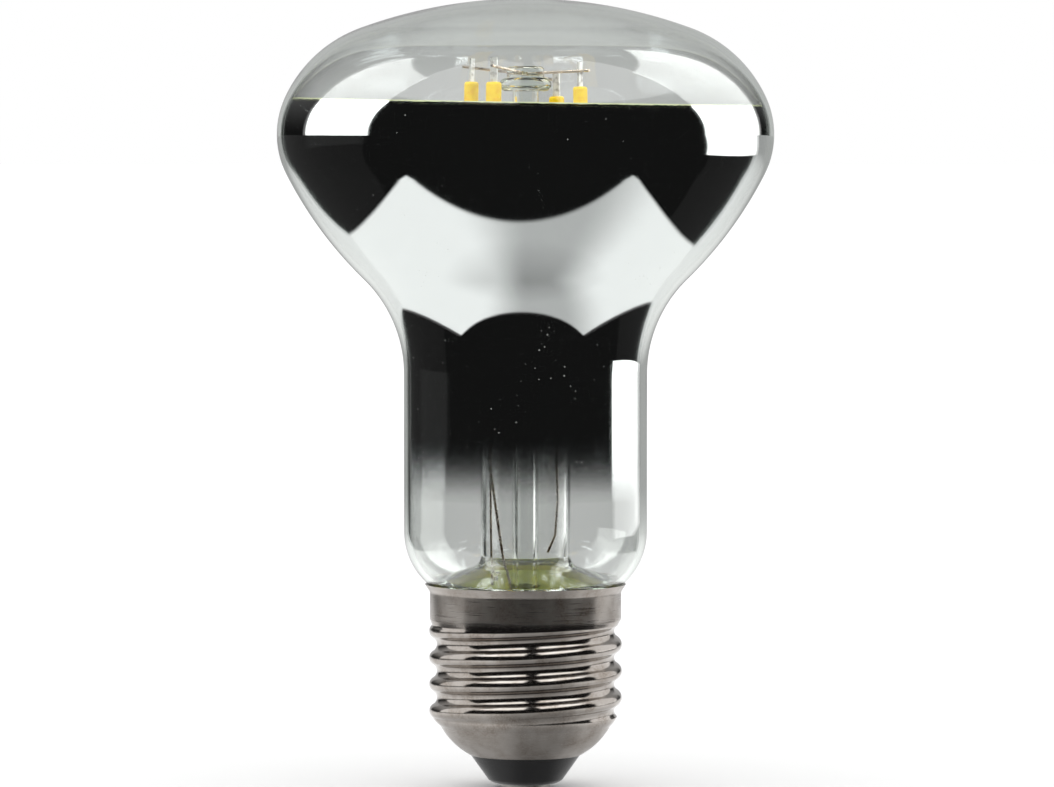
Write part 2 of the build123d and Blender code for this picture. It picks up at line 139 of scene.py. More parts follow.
class ShellSizes(bpy.types.PropertyGroup):
    """Sizes of the rolled screw shell, from its bowl up to its lip."""

    wall: length("Wall", "Thickness of the sheet", 0.3)
    eye_radius: length("Eye radius", "Opening in the bowl that holds the insulator", 7.45)
    bowl_height: length("Bowl height", "From the eye up to the thread's run-out", 4)
    bowl_radius: length("Bowl", "Bow of the bowl's side", 9.6)
    bowl_reach: length("Bowl reach", "How far the bowl's arc runs outwards", 4.65)
    bowl_rise: length("Bowl rise", "How far the bowl's arc runs upwards", 5.2)
    thread_radius: length("Thread radius", "Radius over the thread's crests", 13.1)
    thread_depth: length("Thread depth", "From crest to root", 1.04)
    thread_pitch: length("Thread pitch", "From crest to crest", 3.629)
    thread_start: angle("Thread start", "Where the lowest full crest begins", 99)
    low_run_out: length("Low run-out", "Height in which the bowl goes over to the thread", 1.2)
    high_run_out: length("High run-out", "Height in which the thread goes over to the skirt", 0.8)
    skirt_radius: length("Skirt radius", "Radius of the plain part", 13)
    skirt_height: length("Skirt height", "Height of the plain part", 3.73)
    lip_height: length("Lip height", "Height of the flared rim", 1)
    lip_bend: length("Lip bend", "Bend between skirt and rim", 0.8)


class LampFinishes(bpy.types.PropertyGroup):
    """Colours of the lamp's materials."""

    glass_tint: colour("Glass tint", "Colour that thick glass keeps", "#CCEAD2")
    mirror: colour("Mirror", "Reflected colour of the deposited film", "#E6E7E8")
    # Rim colour: partly the thinner film's own paler tone, partly a painted highlight of the cut edge
    # catching light
    film_edge_and_glint: colour("Film edge", "Thin rim where the film ends", "#D9DDB4")
    film_specks: colour("Film specks", "Drops that spattered on the film", "#C9C9C8")
    phosphor: colour("Phosphor", "Filament coating, unlit", "#FFD814")
    phosphor_deep: colour("Deep phosphor", "Thicker spots of the coating", "#F2B410")
    tab: colour("Tab", "Plated steel of the filament ends", "#F2F1EE")
    tab_stain: colour("Tab stain", "Weld marks on the filament ends", "#8A8178")
    wire: colour("Wire", "Drawn wire", "#D9CBBB")
    wire_stain: colour("Wire stain", "Heat marks on the wire", "#5E4636")
    nickel: colour("Nickel", "Plating of the screw shell", "#B3ADA7")
    nickel_stain: colour("Nickel stain", "Warmer, darker patches of the plating", "#83776C")
    black_glass: colour("Black glass", "Cast insulator", "#0C0C0D")
    contact: colour("Contact", "Tinned centre contact", "#B9B6AF")
    cement: colour("Cement", "Baked capping cement", "#D6CF72")
    laminate: colour("Laminate", "Board face", "#B9C23E")


class LampPatterns(bpy.types.PropertyGroup):
    """Sizes of the patterns in the lamp's materials."""

    film_fade: length("Film fade", "Height over which the film thins out", 11)
    film_rim: length("Film rim", "Width of the thin rim at the film's upper edge", 0.14)
    speck_spacing: length("Speck spacing", "Distance between specks on the film", 0.9)
    speck_radius: length("Speck radius", "Largest speck on the film", 0.09)
    rim_wander: length("Rim wander", "Length of the waves in that rim", 0.667)
    speck_swarm: length("Speck swarm", "Width of a swarm of specks", 8.33)
    film_haze: length("Film haze", "Width of the duller clouds on the film", 1.25)
    phosphor_mottle: length("Phosphor mottle", "Width of thick and thin spots in the coating", 0.625)
    rolling_line: length("Rolling line", "Spacing of the lines round the shell", 0.16)
    nickel_blotch: length("Nickel blotch", "Width of the stains on the shell", 2.86)
    nickel_pit: length("Nickel pit", "Width of the small pits in the plating", 0.25)
    black_glass_flow: length("Black glass flow", "Width of the waves in cast glass", 1.43)
    glass_ripple: length("Glass ripple", "Width of the ripples in blown glass", 9)


class StudioSettings(bpy.types.PropertyGroup):
    """Camera, floor and light. Azimuths count from the back, positive to the right."""

    camera_distance: length("Camera distance", "From the lamp's axis", 890)
    camera_height: length("Camera height", "Above the floor", 93)
    aim_height: length("Aim height", "Height of the picture's middle", 53.6)
    aim_side: length("Aim side", "How far right of the axis the picture's middle lies", 0.2)
    picture_width: length("Picture width", "Width of the picture at the lamp", 143)
    floor_reach: length("Floor reach", "Half the width of the floor", 9000)
    floor_fade: length("Floor fade", "Half the width of an edge on the floor", 2)
    card: number("Floor grey", "Share of the light that the floor gives back", 0.4)
    board_left: length("Board left", "Board under the lamp, left of the axis", 103)
    board_right: length("Board right", "Board under the lamp, right of the axis", 94)
    board_front: length("Board front", "Board under the lamp, in front of the axis", 56)
    board_back: length("Board back", "Board under the lamp, behind the axis", 101)
    board_spread: number("Board spread", "Slope of the board's sides", 0.08)
    board_slant: number("Board slant", "Slope of the board's front", 0.048)
    board: number("Board", "Board as the mirror shows it", 1.1)
    foot_shadow_from: length("Foot shadow from", "Where the lamp's foot shades most", 8)
    foot_shadow_to: length("Foot shadow to", "Where the foot's shadow ends", 45)
    foot_shadow: number("Foot shadow", "Share of light left in it", 0.5)
    shade_middle: angle("Front shade", "Middle of the wide shadow, right of the front", 19)
    shade_from: angle("Front shade from", "Half its darkest part", 16)
    shade_to: angle("Front shade to", "Half its whole width", 66)
    shade: number("Front shade light", "Share of light left in it", 0.5)
    table_left: length("Table left", "Table behind the board, left of the axis", 70)
    table_slant: number("Table slant", "Slope of the table's left side", 0.4)
    table_right: angle("Table right", "Right side of the table", 45)
    table_near: length("Table near", "Where the table begins to darken", 150)
    table_far: length("Table far", "Where the table is darkest", 700)
    table_near_light: number("Near table light", "Near part as the mirror shows it", 0.95)
    table_far_light: number("Far table light", "Far part as the mirror shows it", 0.38)
    stand_from: angle("Softbox stand", "Back edge of the right softbox on the floor", 42.6)
    stand_reach: length("Stand reach", "From the axis to that softbox", 297)
    stand_fade: length("Stand fade", "Half the width of its edge", 10)
    stand_slant: number("Stand slant", "Slope of its edge", 0.2)
    glow: number("Glow", "Glow of the left softbox on the floor", 0.02)
    glow_reach: length("Glow reach", "From the axis to that glow", 600)
    glow_fade: length("Glow fade", "Half the width of its near edge", 40)
    glow_turn: angle("Glow turn", "Half the width of its side edges", 8)
    seen_through: number("Room through glass", "Backdrop and table seen through glass", 0.55)
    fill: number("Fill light", "Light on matt surfaces", 2.8)
    room: number("Room", "Dark rest of the room", 0.008)
    left_from: angle("Left softbox front", "Front edge of the lamp on the left", -101)
    left_to: angle("Left softbox back", "Back edge of the lamp on the left", -55)
    left_low: angle("Left softbox low", "Lower edge of the lamp on the left", -0.5)
    right_from: angle("Right softbox back", "Back edge of the lamp on the right", 39)
    right_to: angle("Right softbox front", "Front edge of the lamp on the right", 87)
    right_low: angle("Right softbox low", "Lower edge of the lamp on the right", -1)
    softbox_top: angle("Softbox top", "Upper edge of both", 58)
    softbox_dim: angle("Softbox dim", "Height up to which both are dim", 8)
    softbox_full: angle("Softbox full", "Height from which both are bright", 40)
    softbox: number("Softboxes", "Upper part of the side lamps as glass and mirror show it", 6.5)
    softbox_foot: number("Softbox feet", "Lower part of the side lamps, the same way", 2.2)
    metal_softbox: number("Softboxes on metal", "Two side lamps as bare metal shows them", 1.2)
    top_left: angle("Top lamp left", "Front edge of the left lamp high in front", -176)
    top_right: angle("Top lamp right", "Front edge of the right lamp high in front", 162)
    top_low: angle("Top lamps low", "Lower edge of both", 40)
    top_high: angle("Top lamps high", "Upper edge of both", 84)
    metal_top: number("Top lamps on metal", "Two lamps high in front as bare metal shows them", 2.3)
    fill_full: angle("Fill full", "Height from which the surroundings are pale", 25)
    fill_top: angle("Fill top", "Upper edge of the pale surroundings", 60)
    metal_fill: number("Fill on metal", "Pale surroundings behind as bare metal shows them", 0.4)
    metal_floor: number("Floor on metal", "Floor at the lamp's sides as bare metal shows it", 0.1)
    ceiling_front: number("Ceiling front", "How far in front the ceiling begins", 0.6)
    ceiling_back: number("Ceiling back", "How far behind it is full", 0.5)
    ceiling_low: angle("Ceiling low", "Height at which the ceiling begins", 36)
    ceiling_full: angle("Ceiling full", "Height from which it is full", 50)
    ceiling: number("Ceiling", "Ceiling behind the lamp", 0.2)
    back_half_angle: angle("Backdrop", "Half the width of the backdrop", 22)
    backdrop_full: angle("Backdrop full", "Height up to which the backdrop is full", 10)
    backdrop_top: angle("Backdrop top", "Height at which the backdrop ends", 65)
    backdrop: number("Backdrop light", "Backdrop as the mirror shows it", 0.5)


def add_node(tree, kind, inputs=None, **settings):
    """Add a shader node. Inputs take values, nodes or outputs, and settings are the node's properties."""
    made = tree.nodes.new(kind)
    for key, value in settings.items():
        setattr(made, key, value)
    for key, value in (inputs or {}).items():
        if isinstance(value, bpy.types.Node):
            value = next(output for output in value.outputs if output.enabled)
        if isinstance(value, bpy.types.NodeSocket):
            tree.links.new(value, made.inputs[key])
        else:
            made.inputs[key].default_value = value
    return made


def new_material(name):
    """Empty node material and its tree."""
    material = bpy.data.materials.new(name)
    material.use_nodes = True
    material.node_tree.nodes.clear()
    return material, material.node_tree


def place_in_mm(tree):
    """Place on an object in millimetres."""
    place = add_node(tree, "ShaderNodeTexCoord")
    return add_node(
        tree,
        "ShaderNodeVectorMath",
        {0: place.outputs["Object"], "Scale": 1 / MM},
        operation="SCALE",
    )


def soft_area(tree, amount, *bounds):
    """Amount that comes in softly past each bound: a value, where it is outside, and where inside."""
    for value, outside, inside in bounds:
        edge = add_node(
            tree,
            "ShaderNodeMapRange",
            {0: value, 1: outside, 2: inside},
            interpolation_type="SMOOTHSTEP",
        )
        amount = add_node(tree, "ShaderNodeMath", {0: edge, 1: amount}, operation="MULTIPLY")
    return amount


def within(value, low, high, soft):
    """Two bounds that hold a value between low and high."""
    return (value, low - soft, low + soft), (value, high + soft, high - soft)


def brightest(tree, light, *others):
    """The strongest of several lights at each place."""
    for other in others:
        light = add_node(tree, "ShaderNodeMath", {0: light, 1: other}, operation="MAXIMUM")
    return light


def ray_kinds(tree):
    """Whether a ray comes straight from the eye, met no glass, met a mirror, and met a matt surface."""
    paths = add_node(tree, "ShaderNodeLightPath")
    kinds = [paths.outputs["Is Camera Ray"]]
    for depth, operation in (
        ("Transmission Depth", "LESS_THAN"),
        ("Glossy Depth", "GREATER_THAN"),
        ("Diffuse Depth", "GREATER_THAN"),
    ):
        inputs = {0: paths.outputs[depth], 1: 0.5}
        kinds.append(add_node(tree, "ShaderNodeMath", inputs, operation=operation))
    return kinds


def finish_nodes(material, *names):
    """Put a material on CAD nodes."""
    for name in names:
        node = nodes[name]
        node.data.materials.clear()
        node.data.materials.append(material)


def bulb_outline(sizes, inset):
    """Points up the glass outline, moved inwards by inset, as radius and height in metres."""
    seal_z = glass_low.z
    base_x = sizes.neck_radius - sizes.neck_base_radius
    base = Vector(
        (base_x, seal_z + math.sqrt(sizes.neck_base_radius**2 - (sizes.seal_radius - base_x) ** 2))
    )
    flare = Vector((sizes.neck_radius + sizes.flare_radius, base.y + sizes.neck_length))
    shoulder_x = glass_high.x - sizes.shoulder_radius
    step = sizes.cone_radius - sizes.shoulder_radius
    cone_x = shoulder_x - step * math.cos(sizes.shoulder_below)
    reach = sizes.flare_radius + sizes.cone_radius
    cone = Vector((cone_x, flare.y + math.sqrt(reach**2 - (flare.x - cone_x) ** 2)))
    shoulder = Vector((shoulder_x, cone.y - step * math.sin(sizes.shoulder_below)))
    above = Vector((math.cos(sizes.shoulder_above), math.sin(sizes.shoulder_above)))
    crown = shoulder - above * (sizes.crown_radius - sizes.shoulder_radius)
    dome = Vector((0, glass_high.z - sizes.dome_radius))
    # A radius below zero marks the one hollow arc
    arcs = [
        (flare, -sizes.flare_radius - inset),
        (cone, sizes.cone_radius - inset),
        (shoulder, sizes.shoulder_radius - inset),
        (crown, sizes.crown_radius - inset),
        (dome, sizes.dome_radius - inset),
    ]
    base_reach = math.sqrt((sizes.neck_base_radius - inset) ** 2 - (seal_z - base.y) ** 2)
    start = Vector((sizes.neck_radius - inset, flare.y))
    points = arc_points(
        base, Vector((base.x + base_reach, seal_z)), Vector((sizes.neck_radius - inset, base.y))
    )
    points += [points[-1].lerp(start, i / NECK_STEPS) for i in range(1, NECK_STEPS + 1)]
    for index, (center, radius) in enumerate(arcs):
        end = Vector((0, glass_high.z - inset))
        if index + 1 < len(arcs):
            next_center, next_radius = arcs[index + 1]
            end = center + (next_center - center) * (radius / (radius - next_radius))
        points += arc_points(center, start, end)[1:]
        start = end
    return points


def arc_points(center, start, end):
    """Evenly spaced points on the shorter arc from start to end."""
    first = start - center
    turn = math.atan2(first.cross(end - center), first.dot(end - center))
    count = max(2, math.ceil(abs(turn) * first.length / OUTLINE_STEP))
    points = []
    for i in range(count + 1):
        angle_here = turn * i / count
        spin = math.cos(angle_here), math.sin(angle_here)
        points.append(
            center
            + Vector((first.x * spin[0] - first.y * spin[1], first.x * spin[1] + first.y * spin[0]))
        )
    return points


def between(points, low, high):
    """Part of an outline from one height to another, with exact ends."""
    kept = []
    for first, second in zip(points, points[1:]):
        for height in (low, high):
            if first.y < height <= second.y:
                kept.append(first.lerp(second, (height - first.y) / (second.y - first.y)))
        if low < second.y < high:
            kept.append(second)
    return kept


def evenly(points, count):
    """The same line through count points at equal steps."""
    marks = [0.0]
    for first, second in zip(points, points[1:]):
        marks.append(marks[-1] + (second - first).length)
    result, index = [], 0
    for i in range(count):
        target = marks[-1] * i / (count - 1)
        while index < len(points) - 2 and marks[index + 1] < target:
            index += 1
        share = (target - marks[index]) / (marks[index + 1] - marks[index])
        result.append(points[index].lerp(points[index + 1], min(1, share)))
    return result


def turned_piece(name, outlines, replaced):
    """Closed smooth mesh from one closed outline for each step round the axis, in a CAD node's place."""
    rows = len(outlines[0])
    around = len(outlines)
    vertices = []
    for step, outline in enumerate(outlines):
        turn = 2 * math.pi * step / around
        vertices += [(p.x * math.cos(turn), p.x * math.sin(turn), p.y) for p in outline]
    faces = []
    for step in range(around):
        here, there = step * rows, (step + 1) % around * rows
        for row in range(rows):
            up = (row + 1) % rows
            faces.append((here + row, there + row, there + up, here + up))
    mesh = bpy.data.meshes.new(name)
    mesh.from_pydata(vertices, [], faces)
    work = bmesh.new()
    work.from_mesh(mesh)
    bmesh.ops.remove_doubles(work, verts=work.verts, dist=MERGE_GAP)
    bmesh.ops.dissolve_degenerate(work, edges=work.edges, dist=MERGE_GAP)
    bmesh.ops.recalc_face_normals(work, faces=work.faces)
    for edge in work.edges:
        edge.smooth = edge.calc_face_angle(0) < SHARP_EDGE
    for face in work.faces:
        face.smooth = True
    work.to_mesh(mesh)
    work.free()
    piece = bpy.data.objects.new(name, mesh)
    bpy.context.scene.collection.objects.link(piece)
    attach(piece, "root")
    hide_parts(replaced)
    return piece


def shell_outline(sizes, turn):
    """Closed outline of the screw shell's sheet at one place round the axis."""
    eye_z, lip_z = shell_low.z, shell_high.z
    bowl_top_z = eye_z + sizes.bowl_height
    thread_low_z = bowl_top_z + sizes.low_run_out
    skirt_high_z = lip_z - sizes.lip_height
    skirt_low_z = skirt_high_z - sizes.skirt_height
    thread_high_z = skirt_low_z - sizes.high_run_out
    chord = Vector((sizes.bowl_reach, sizes.bowl_rise))
    sink = math.sqrt(sizes.bowl_radius**2 - chord.length_squared / 4)
    across = Vector((chord.y, -chord.x)).normalized()
    bowl = Vector((sizes.eye_radius, eye_z)) + chord / 2 - across * sink
    # Round crests and roots that touch halfway up the flanks
    pitch, depth = sizes.thread_pitch, sizes.thread_depth
    bend = (pitch**2 / 16 + depth**2 / 4) / depth
    points = []
    steps = math.ceil((skirt_low_z - eye_z) / SHELL_STEP)
    for i in range(steps + 1):
        height = eye_z + (skirt_low_z - eye_z) * i / steps
        # The thread climbs only between its run-outs
        climb = min(max(height, thread_low_z), thread_high_z) - thread_low_z
        turns = climb / pitch + (sizes.thread_start - turn) / (2 * math.pi)
        aside = abs(turns - round(turns)) * pitch
        if aside < pitch / 4:
            radius = sizes.thread_radius - bend + math.sqrt(bend**2 - aside**2)
        else:
            from_root = pitch / 2 - aside
            radius = sizes.thread_radius - depth + bend - math.sqrt(bend**2 - from_root**2)
        # The thread goes over to the bowl below it and to the skirt above it
        bowl_rise = min(height, thread_low_z) - bowl.y
        bowl_side = bowl.x + math.sqrt(sizes.bowl_radius**2 - bowl_rise**2)
        for side, share in (
            (bowl_side, (thread_low_z - height) / sizes.low_run_out),
            (sizes.skirt_radius, (height - thread_high_z) / sizes.high_run_out),
        ):
            radius += (side - radius) * min(max(share, 0), 1)
        points.append(Vector((radius, height)))
    lip_turn = math.atan2(shell_high.x - sizes.skirt_radius, sizes.lip_height)
    bend_z = skirt_high_z - sizes.lip_bend * math.tan(lip_turn / 2)
    for i in range(LIP_STEPS + 1):
        lean = lip_turn * i / LIP_STEPS
        out = sizes.lip_bend * (1 - math.cos(lean))
        points.append(
            Vector((sizes.skirt_radius + out, bend_z + sizes.lip_bend * math.sin(lean)))
        )
    points.append(Vector((shell_high.x, lip_z)))
    inner = []
    for before, here, after in zip(points[:1] + points, points, points[1:] + points[-1:]):
        along = (after - before).normalized()
        inside = here + Vector((-along.y, along.x)) * sizes.wall
        # The sheet ends level at its eye and at its lip
        inside.y = min(max(inside.y, eye_z), lip_z)
        inner.append(inside)
    return points + inner[::-1]


def clear_glass(name, tint, density, ripple):
    """Soda-lime glass worked in a flame: clear, faintly rippled, and green seen through its edge."""
    material, tree = new_material(name)
    waves = add_node(
        tree,
        "ShaderNodeTexNoise",
        {"Vector": place_in_mm(tree), "Scale": MM / ripple, "Detail": 1.0},
    )
    bump = add_node(
        tree, "ShaderNodeBump", {"Strength": 0.06, "Distance": 0.2 * MM, "Height": waves}
    )
    glass = add_node(
        tree,
        "ShaderNodeBsdfPrincipled",
        {
            "Base Color": (1, 1, 1, 1),
            "Roughness": 0.0,
            "IOR": 1.52,
            "Transmission Weight": 1.0,
            "Normal": bump,
        },
    )
    body = add_node(tree, "ShaderNodeVolumeAbsorption", {"Color": (*tint, 1), "Density": density})
    add_node(tree, "ShaderNodeOutputMaterial", {"Surface": glass, "Volume": body})
    return material


def deposited_mirror(finishes, patterns, sizes):
    """Aluminium deposited in vacuum: a mirror with spattered specks and a pale rim, thin at its foot. The
    rim's pale colour is partly the thinning film and partly a painted highlight of the cut edge.
    """
    material, tree = new_material("aluminium_film_vacuum_deposited")
    place = place_in_mm(tree)
    axes = add_node(tree, "ShaderNodeSeparateXYZ", {0: place})
    # The film thins out downwards
    low = film_low.z / MM
    fade = patterns.film_fade / MM
    cover = add_node(
        tree,
        "ShaderNodeMapRange",
        {0: axes.outputs[2], 1: low - 0.1 * fade, 2: low + 0.9 * fade},
        interpolation_type="SMOOTHSTEP",
    )
    # Rim along the slanting upper edge: paler where the film thins, and also a painted highlight where the
    # cut edge catches light
    slope = math.tan(sizes.film_edge_tilt)
    edge = add_node(
        tree,
        "ShaderNodeMath",
        {0: axes.outputs[0], 1: -slope, 2: (film_high.z - film_high.x * slope) / MM},
        operation="MULTIPLY_ADD",
    )
    below_edge = add_node(
        tree, "ShaderNodeMath", {0: edge, 1: axes.outputs[2]}, operation="SUBTRACT"
    )
    wander = add_node(
        tree,
        "ShaderNodeTexNoise",
        {"Vector": place, "Scale": MM / patterns.rim_wander, "Detail": 2.0},
    )
    rim = add_node(
        tree,
        "ShaderNodeMath",
        {0: wander, 1: 2 * patterns.film_rim / MM},
        operation="MULTIPLY",
    )
    on_rim = add_node(tree, "ShaderNodeMath", {0: below_edge, 1: rim}, operation="LESS_THAN")
    # Specks lie in loose swarms
    drops = add_node(
        tree, "ShaderNodeTexVoronoi", {"Vector": place, "Scale": MM / patterns.speck_spacing}
    )
    swarm = add_node(
        tree,
        "ShaderNodeTexNoise",
        {"Vector": place, "Scale": MM / patterns.speck_swarm, "Detail": 1.0},
    )
    drop_size = add_node(
        tree,
        "ShaderNodeMapRange",
        {0: swarm, 1: 0.46, 2: 0.7, 3: 0.0, 4: patterns.speck_radius / patterns.speck_spacing},
    )
    on_drop = add_node(
        tree,
        "ShaderNodeMath",
        {0: drops.outputs["Distance"], 1: drop_size},
        operation="LESS_THAN",
    )
    tone = add_node(
        tree,
        "ShaderNodeMix",
        {0: on_drop, 6: (*finishes.mirror, 1), 7: (*finishes.film_specks, 1)},
        data_type="RGBA",
    )
    # The rim's colour is the thinner film's paler tone together with a painted highlight of the cut edge
    rim_tone_and_glint = add_node(
        tree,
        "ShaderNodeMix",
        {0: on_rim, 6: tone, 7: (*finishes.film_edge_and_glint, 1)},
        data_type="RGBA",
    )
    dull = add_node(tree, "ShaderNodeMath", {0: on_drop, 1: on_rim}, operation="MAXIMUM")
    bright = add_node(tree, "ShaderNodeMath", {0: 1.0, 1: dull}, operation="SUBTRACT")
    haze = add_node(
        tree,
        "ShaderNodeTexNoise",
        {"Vector": place, "Scale": MM / patterns.film_haze, "Detail": 4.0},
    )
    polish = add_node(tree, "ShaderNodeMapRange", {0: haze, 1: 0.35, 2: 0.8, 3: 0.0, 4: 0.06})
    mirror = add_node(
        tree,
        "ShaderNodeBsdfPrincipled",
        {"Base Color": rim_tone_and_glint, "Metallic": bright, "Roughness": polish, "Alpha": cover},
    )
    add_node(tree, "ShaderNodeOutputMaterial", {"Surface": mirror})
    return material


def phosphor_coating(finishes, patterns):
    """Silicone with phosphor, dip-coated: matt and slightly soft yellow, deeper where it is thicker."""
    material, tree = new_material("phosphor_silicone_dipped")
    mottle = add_node(
        tree,
        "ShaderNodeTexNoise",
        {"Vector": place_in_mm(tree), "Scale": MM / patterns.phosphor_mottle, "Detail": 3.0},
    )
    thick = add_node(tree, "ShaderNodeMapRange", {0: mottle, 1: 0.5, 2: 0.8})
    tone = add_node(
        tree,
        "ShaderNodeMix",
        {0: thick, 6: (*finishes.phosphor, 1), 7: (*finishes.phosphor_deep, 1)},
        data_type="RGBA",
    )
    bump = add_node(
        tree, "ShaderNodeBump", {"Strength": 0.3, "Distance": 0.05 * MM, "Height": mottle}
    )
    coating = add_node(
        tree,
        "ShaderNodeBsdfPrincipled",
        {"Base Color": tone, "Roughness": 0.5, "IOR": 1.41, "Normal": bump},
    )
    add_node(tree, "ShaderNodeOutputMaterial", {"Surface": coating})
    return material


def worked_metal(name, bright, stain, stain_size, roughness, metallic=1.0):
    """Drawn or stamped metal: bright, with soft stains of a size in mm and a slightly uneven polish."""
    material, tree = new_material(name)
    marks = add_node(
        tree,
        "ShaderNodeTexNoise",
        {"Vector": place_in_mm(tree), "Scale": 1 / stain_size, "Detail": 4.0},
    )
    stained = add_node(tree, "ShaderNodeMapRange", {0: marks, 1: 0.5, 2: 0.75})
    tone = add_node(
        tree,
        "ShaderNodeMix",
        {0: stained, 6: (*bright, 1), 7: (*stain, 1)},
        data_type="RGBA",
    )
    polish = add_node(
        tree, "ShaderNodeMapRange", {0: marks, 1: 0.3, 2: 0.8, 3: roughness, 4: roughness + 0.2}
    )
    bump = add_node(
        tree, "ShaderNodeBump", {"Strength": 0.2, "Distance": 0.02 * MM, "Height": marks}
    )
    metal = add_node(
        tree,
        "ShaderNodeBsdfPrincipled",
        {"Base Color": tone, "Metallic": metallic, "Roughness": polish, "Normal": bump},
    )
    add_node(tree, "ShaderNodeOutputMaterial", {"Surface": metal})
    return material


def rolled_nickel(finishes, patterns, sizes):
    """Nickel-plated brass, rolled: bright on the pressed thread, satin above and below it, with stains."""
    material, tree = new_material("nickel_plated_brass_rolled")
    place = place_in_mm(tree)
    axes = add_node(tree, "ShaderNodeSeparateXYZ", {0: place})
    turn = add_node(
        tree, "ShaderNodeMath", {0: axes.outputs[1], 1: axes.outputs[0]}, operation="ARCTAN2"
    )
    # The lines are long, so the way round counts for much less than the height. Real lines and pits are
    # finer, and these are as wide as they need to be to show.
    around = add_node(
        tree, "ShaderNodeMath", {0: turn, 1: 0.02 * shell_high.x / MM}, operation="MULTIPLY"
    )
    rolling = add_node(tree, "ShaderNodeCombineXYZ", {0: around, 2: axes.outputs[2]})
    lines = add_node(
        tree,
        "ShaderNodeTexNoise",
        {"Vector": rolling, "Scale": MM / patterns.rolling_line, "Detail": 2.0},
    )
    stains = add_node(
        tree,
        "ShaderNodeTexNoise",
        {"Vector": place, "Scale": MM / patterns.nickel_blotch, "Detail": 5.0},
    )
    pits = add_node(
        tree,
        "ShaderNodeTexNoise",
        {"Vector": place, "Scale": MM / patterns.nickel_pit, "Detail": 3.0},
    )
    stained = add_node(tree, "ShaderNodeMapRange", {0: stains, 1: 0.4, 2: 0.75})
    pitted = add_node(tree, "ShaderNodeMapRange", {0: pits, 1: 0.35, 2: 0.65, 3: 0.4, 4: 1.0})
    worn = add_node(tree, "ShaderNodeMath", {0: stained, 1: pitted}, operation="MULTIPLY")
    tone = add_node(
        tree,
        "ShaderNodeMix",
        {0: worn, 6: (*finishes.nickel, 1), 7: (*finishes.nickel_stain, 1)},
        data_type="RGBA",
    )
    # The rollers that press the thread leave it brighter than the drawn sheet
    thread_low = (shell_low.z + sizes.bowl_height) / MM
    thread_high = (shell_high.z - sizes.lip_height - sizes.skirt_height) / MM
    run_in = sizes.low_run_out / MM / 2
    pressed = soft_area(tree, 1.0, *within(axes.outputs[2], thread_low, thread_high, run_in))
    drawn = add_node(tree, "ShaderNodeMapRange", {0: lines, 1: 0.3, 2: 0.7, 3: 0.25, 4: 0.38})
    bright = add_node(tree, "ShaderNodeMapRange", {0: lines, 1: 0.3, 2: 0.7, 3: 0.12, 4: 0.18})
    polish = add_node(tree, "ShaderNodeMix", {0: pressed, 2: drawn, 3: bright})
    relief = add_node(tree, "ShaderNodeMath", {0: lines, 1: pits}, operation="ADD")
    bump = add_node(
        tree, "ShaderNodeBump", {"Strength": 0.15, "Distance": 0.02 * MM, "Height": relief}
    )
    round_axis = add_node(tree, "ShaderNodeTangent", direction_type="RADIAL", axis="Z")
    metal = add_node(
        tree,
        "ShaderNodeBsdfPrincipled",
        {
            "Base Color": tone,
            "Metallic": 1.0,
            "Roughness": polish,
            "Anisotropic": 0.7,
            "Anisotropic Rotation": 0.25,
            "Tangent": round_axis,
            "Normal": bump,
        },
    )
    add_node(tree, "ShaderNodeOutputMaterial", {"Surface": metal})
    return material


def cast_black_glass(finishes, patterns):
    """Opaque black glass cast in the shell: deep black, glossy, slightly uneven."""
    material, tree = new_material("black_glass_cast")
    flow = add_node(
        tree,
        "ShaderNodeTexNoise",
        {"Vector": place_in_mm(tree), "Scale": MM / patterns.black_glass_flow, "Detail": 3.0},
    )
    polish = add_node(tree, "ShaderNodeMapRange", {0: flow, 1: 0.3, 2: 0.8, 3: 0.12, 4: 0.3})
    bump = add_node(
        tree, "ShaderNodeBump", {"Strength": 0.25, "Distance": 0.1 * MM, "Height": flow}
    )
    glass = add_node(
        tree,
        "ShaderNodeBsdfPrincipled",
        {
            "Base Color": (*finishes.black_glass, 1),
            "IOR": 1.52,
            "Roughness": polish,
            "Normal": bump,
        },
    )
    add_node(tree, "ShaderNodeOutputMaterial", {"Surface": glass})
    return material


def matt_body(name, tone, grain, roughness):
    """Filled resin, moulded or baked: matt, with fine grains of a size in mm, some of them darker."""
    material, tree = new_material(name)
    grains = add_node(
        tree,
        "ShaderNodeTexNoise",
        {"Vector": place_in_mm(tree), "Scale": 1 / grain, "Detail": 4.0},
    )
    deep = add_node(tree, "ShaderNodeMapRange", {0: grains, 1: 0.35, 2: 0.75})
    body = add_node(
        tree,
        "ShaderNodeMix",
        {0: deep, 6: (*tone, 1), 7: (*(0.7 * c for c in tone), 1)},
        data_type="RGBA",
    )
    bump = add_node(
        tree, "ShaderNodeBump", {"Strength": 0.4, "Distance": 0.05 * MM, "Height": grains}
    )
    resin = add_node(
        tree,
        "ShaderNodeBsdfPrincipled",
        {"Base Color": body, "Roughness": roughness, "Normal": bump},
    )
    add_node(tree, "ShaderNodeOutputMaterial", {"Surface": resin})
    return material


class LAMP_OT_finish_glass(bpy.types.Operator):
    """Make the blown bulb and the stem clear glass."""

    bl_idname = "lamp.finish_glass"
    bl_label = "Finish glass"

    def execute(self, context):
        sizes = context.scene.bulb_sizes
        tint = context.scene.lamp_finishes.glass_tint
        ripple = context.scene.lamp_patterns.glass_ripple
        outline = bulb_outline(sizes, 0) + bulb_outline(sizes, sizes.wall)[::-1]
        bulb = turned_piece("blown_bulb", [outline] * TURN_STEPS, "glass_bulb")
        blown = clear_glass("soda_lime_glass_blown", tint, density=90.0, ripple=ripple)
        bulb.data.materials.append(blown)
        drawn = clear_glass("soda_lime_glass_drawn", tint, density=30.0, ripple=ripple / 3)
        finish_nodes(drawn, "glass_stem")
        return {"FINISHED"}


